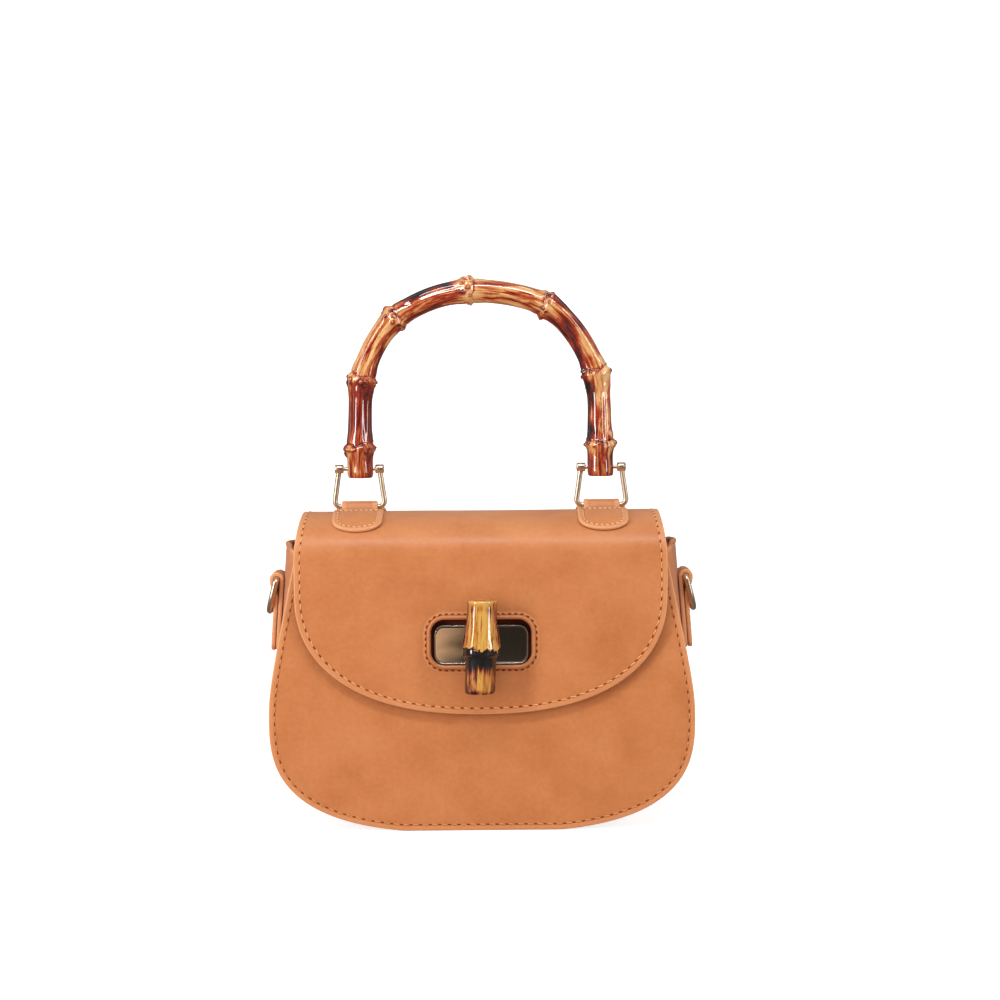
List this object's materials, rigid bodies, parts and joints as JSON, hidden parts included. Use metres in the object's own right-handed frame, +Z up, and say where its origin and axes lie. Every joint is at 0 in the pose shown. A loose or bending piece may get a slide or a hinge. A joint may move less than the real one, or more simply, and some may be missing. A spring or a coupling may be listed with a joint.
{
  "type": "bamboo handle flap handbag",
  "caption": "Small leather handbag with a front flap, a bamboo turn lock, a swinging bamboo handle on wire shackles and side rings.",
  "frame": {"origin": "on the ground under the middle of the bag's whole box", "axes": "+Z up, -Y out of the front with the lock, +X to the right as seen from the front"},
  "size_m": [0.2184, 0.0906, 0.2731],
  "materials": {
    "leather": "smooth tan leather, soft sheen",
    "card": "matt stiffening board",
    "cloth": "plain woven lining",
    "gilt": "polished pale gold plating",
    "steel": "zinc plated",
    "bamboo": "glossy lacquered bamboo"
  },
  "bodies": {
    "body": {"front_panel": "leather", "back_panel": "leather", "gusset": "leather", "front_board": "card", "back_board": "card", "base_board": "card", "lining": "cloth", "inner_pocket": "cloth", "lock_plate": "gilt", "lock_backing": "steel", "lock_spring": "steel", "side_tab_left": "leather", "side_tab_right": "leather"},
    "flap": {"flap_leather": "leather", "flap_board": "card", "flap_lining": "cloth", "slot_trim": "leather", "handle_tab_left": "leather", "handle_tab_right": "leather"},
    "left_shackle": {"shackle_left": "gilt"},
    "right_shackle": {"shackle_right": "gilt"},
    "handle": {"bamboo_handle": "bamboo", "pin_left": "gilt", "pin_right": "gilt"},
    "toggle": {"toggle_bamboo": "bamboo", "lock_shaft": "gilt", "toggle_screw": "steel"},
    "left_ring": {"dring_left": "gilt"},
    "right_ring": {"dring_right": "gilt"}
  },
  "joints": [
    {"name": "flap_open", "type": "hinge", "parent": "body", "child": "flap", "pos_m": [0, 0.04366, 0.12804], "axis": [-1, 0, 0], "range_deg": [0, 120], "deforming": ["flap_leather", "flap_board", "flap_lining", "slot_trim"]},
    {"name": "left_shackle_swing", "type": "hinge", "parent": "flap", "child": "left_shackle", "pos_m": [-0.061, 0.00942, 0.1579], "axis": [1, 0, 0], "range_deg": [-65, 65]},
    {"name": "right_shackle_swing", "type": "hinge", "parent": "flap", "child": "right_shackle", "pos_m": [0.061, 0.00942, 0.1579], "axis": [1, 0, 0], "range_deg": [-65, 65]},
    {"name": "handle_swing", "type": "hinge", "parent": "left_shackle", "child": "handle", "pos_m": [-0.061, 0.00942, 0.1771], "axis": [1, 0, 0], "range_deg": [-35, 35]},
    {"name": "toggle_turn", "type": "hinge", "parent": "body", "child": "toggle", "pos_m": [0, -0.02265, 0.09202], "axis": [0, -0.9991, 0.0427], "range_deg": [-90, 90]},
    {"name": "left_ring_swing", "type": "hinge", "parent": "body", "child": "left_ring", "pos_m": [-0.1028, 0.00942, 0.1222], "axis": [0, 1, 0], "range_deg": [0, 150]},
    {"name": "right_ring_swing", "type": "hinge", "parent": "body", "child": "right_ring", "pos_m": [0.1028, 0.00942, 0.1222], "axis": [0, -1, 0], "range_deg": [0, 150]}
  ],
  "couplings": [
    {"joint": "right_shackle_swing", "follows": "left_shackle_swing", "ratio": 1}
  ]
}
